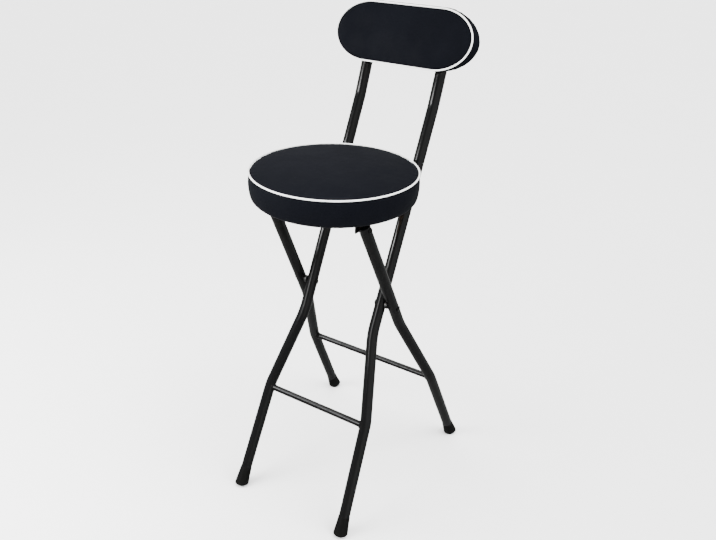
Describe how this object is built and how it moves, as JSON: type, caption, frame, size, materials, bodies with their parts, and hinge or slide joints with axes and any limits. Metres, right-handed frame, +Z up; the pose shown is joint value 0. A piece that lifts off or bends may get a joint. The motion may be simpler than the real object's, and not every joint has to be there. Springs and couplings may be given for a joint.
{
  "type": "folding bar stool",
  "caption": "Folding bar stool with a round padded seat, an oval padded back and crossed tube legs joined by rungs.",
  "frame": {"origin": "middle of the bounding box on the floor", "axes": "+Z up, -Y the way the sitter faces, +X to the sitter's left"},
  "size_m": [0.3612, 0.454, 0.9625],
  "materials": {
    "black_paint": "satin black powder coat",
    "zinc_steel": "bright zinc plate",
    "foot_rubber": "matt black moulded rubber",
    "black_plastic": "matt black moulded plastic",
    "black_vinyl": "soft black vinyl with a fine grain",
    "white_piping": "smooth white vinyl cord",
    "foam": "grey upholstery foam, hidden",
    "plywood": "plain plywood, hidden above and bare below",
    "black_board": "plywood painted matt black behind the back pad"
  },
  "bodies": {
    "front_frame": {"front_leg_left": "black_paint", "front_leg_right": "black_paint", "front_foot_left": "foot_rubber", "front_foot_right": "foot_rubber", "post_plug_left": "black_plastic", "post_plug_right": "black_plastic", "front_rung": "black_paint", "catch_bar": "black_paint", "pivot_rivet_left": "black_paint", "pivot_rivet_right": "black_paint", "pivot_spacer_left": "black_plastic", "pivot_spacer_right": "black_plastic", "back_board": "black_board", "back_foam": "foam", "back_cover": "black_vinyl", "back_piping": "white_piping", "back_screw_1_left": "zinc_steel", "back_screw_1_right": "zinc_steel", "back_screw_2_left": "zinc_steel", "back_screw_2_right": "zinc_steel"},
    "rear_frame": {"rear_leg_left": "black_paint", "rear_leg_right": "black_paint", "rear_foot_left": "foot_rubber", "rear_foot_right": "foot_rubber", "rear_rung": "black_paint"},
    "seat": {"seat_board": "plywood", "seat_foam": "foam", "seat_cover": "black_vinyl", "seat_piping": "white_piping", "hinge_bracket_left": "black_paint", "hinge_bracket_right": "black_paint", "hinge_pin_left": "black_paint", "hinge_pin_right": "black_paint", "catch_hook_left": "black_paint", "catch_hook_right": "black_paint", "bracket_screw_1_left": "zinc_steel", "bracket_screw_1_right": "zinc_steel", "bracket_screw_2_left": "zinc_steel", "bracket_screw_2_right": "zinc_steel", "hook_screw_1_left": "zinc_steel", "hook_screw_1_right": "zinc_steel", "hook_screw_2_left": "zinc_steel", "hook_screw_2_right": "zinc_steel"}
  },
  "joints": [
    {"name": "leg_fold", "type": "hinge", "parent": "front_frame", "child": "rear_frame", "pos_m": [0, -0.00907, 0.4264], "axis": [-1, 0, 0], "range_deg": [0, 47.5]},
    {"name": "seat_fold", "type": "hinge", "parent": "rear_frame", "child": "seat", "pos_m": [0, -0.11116, 0.62793], "axis": [1, 0, 0], "range_deg": [0, 112.05]}
  ],
  "couplings": [
    {"joint": "seat_fold", "follows": "leg_fold", "ratio": 2.3588}
  ]
}
